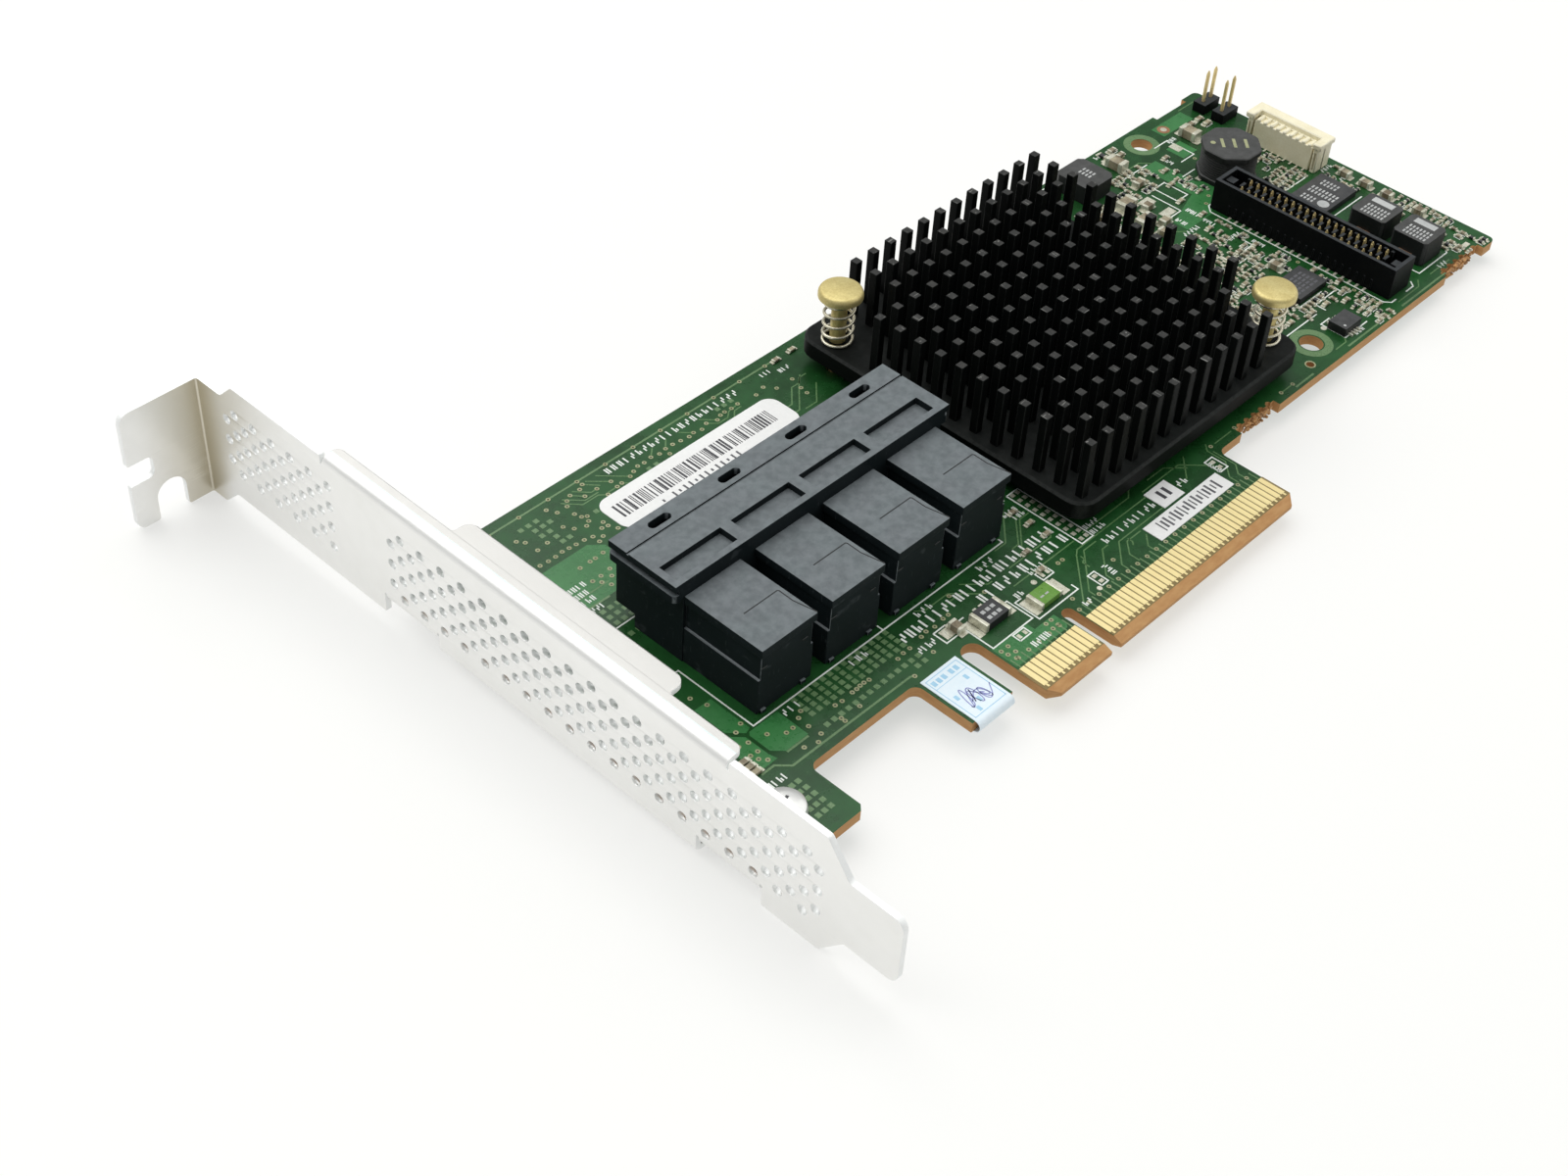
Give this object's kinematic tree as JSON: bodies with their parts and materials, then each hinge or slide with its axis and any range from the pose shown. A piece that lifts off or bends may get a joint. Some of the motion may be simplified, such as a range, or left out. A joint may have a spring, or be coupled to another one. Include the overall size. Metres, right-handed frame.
{
  "type": "raid controller card",
  "caption": "Storage controller expansion card: green board with edge fingers, perforated slot bracket, pin heatsink, ganged cable ports and connectors.",
  "frame": {"origin": "on the board's component face, at the key notch's centre line and the edge fingers' tips", "axes": "+X from the slot bracket to the board's far end, +Y from the edge fingers to the opposite long edge, +Z out of the component side"},
  "size_m": [0.1803, 0.12, 0.0216],
  "materials": {
    "board": "green solder mask over glass laminate, glossy",
    "gold": "thin gold plating, satin",
    "bracket_metal": "satin nickel plate",
    "screw_steel": "bright nickel plate",
    "black_anodised": "black anodised, semi-matt",
    "chip_lid": "nickel lid on a green substrate",
    "pad_grey": "soft grey pad",
    "brass_pin": "turned, slightly tarnished",
    "spring_steel": "bright wire",
    "connector_plastic": "blue-grey glass-filled plastic, satin",
    "black_plastic": "black moulded plastic",
    "ivory_plastic": "ivory moulded nylon",
    "tin": "tinned, satin",
    "ferrite": "dark grey ferrite",
    "copper": "bare copper",
    "chip_black": "black moulded resin",
    "green_resin": "green resin",
    "ceramic_tan": "fired ceramic body",
    "label_paper": "coated white paper",
    "sticker_paper": "thin white paper with pale blue fields"
  },
  "bodies": {
    "root": {"pcb": "board", "gold_edge_contacts": "gold", "slot_bracket": "bracket_metal", "bracket_screws": "screw_steel", "heatsink": "black_anodised", "controller_chip": "chip_lid", "thermal_pad": "pad_grey", "push_pins": "brass_pin", "push_pin_springs": "spring_steel", "port_shroud": "connector_plastic", "wafer_covers": "connector_plastic", "port_inserts": "connector_plastic", "mezzanine_housing": "black_plastic", "mezzanine_pins": "gold", "header_bases": "black_plastic", "header_pins": "gold", "wire_connector": "ivory_plastic", "wire_connector_pins": "tin", "round_inductor": "ferrite", "square_choke": "ferrite", "power_inductors": "ferrite", "inductor_terminals": "copper", "regulator_chip": "chip_black", "converter_chip": "chip_black", "driver_chip": "chip_black", "driver_chip_leads": "tin", "memory_chips": "chip_black", "green_fuse": "green_resin", "shunt_block": "chip_black", "edge_part_caps": "tin", "ceramic_capacitors": "ceramic_tan", "small_chip_parts": "ceramic_tan", "solder_side_chip_parts": "ceramic_tan", "barcode_label": "label_paper", "long_label": "label_paper", "short_label": "label_paper", "tab_sticker": "sticker_paper"}
  },
  "joints": []
}
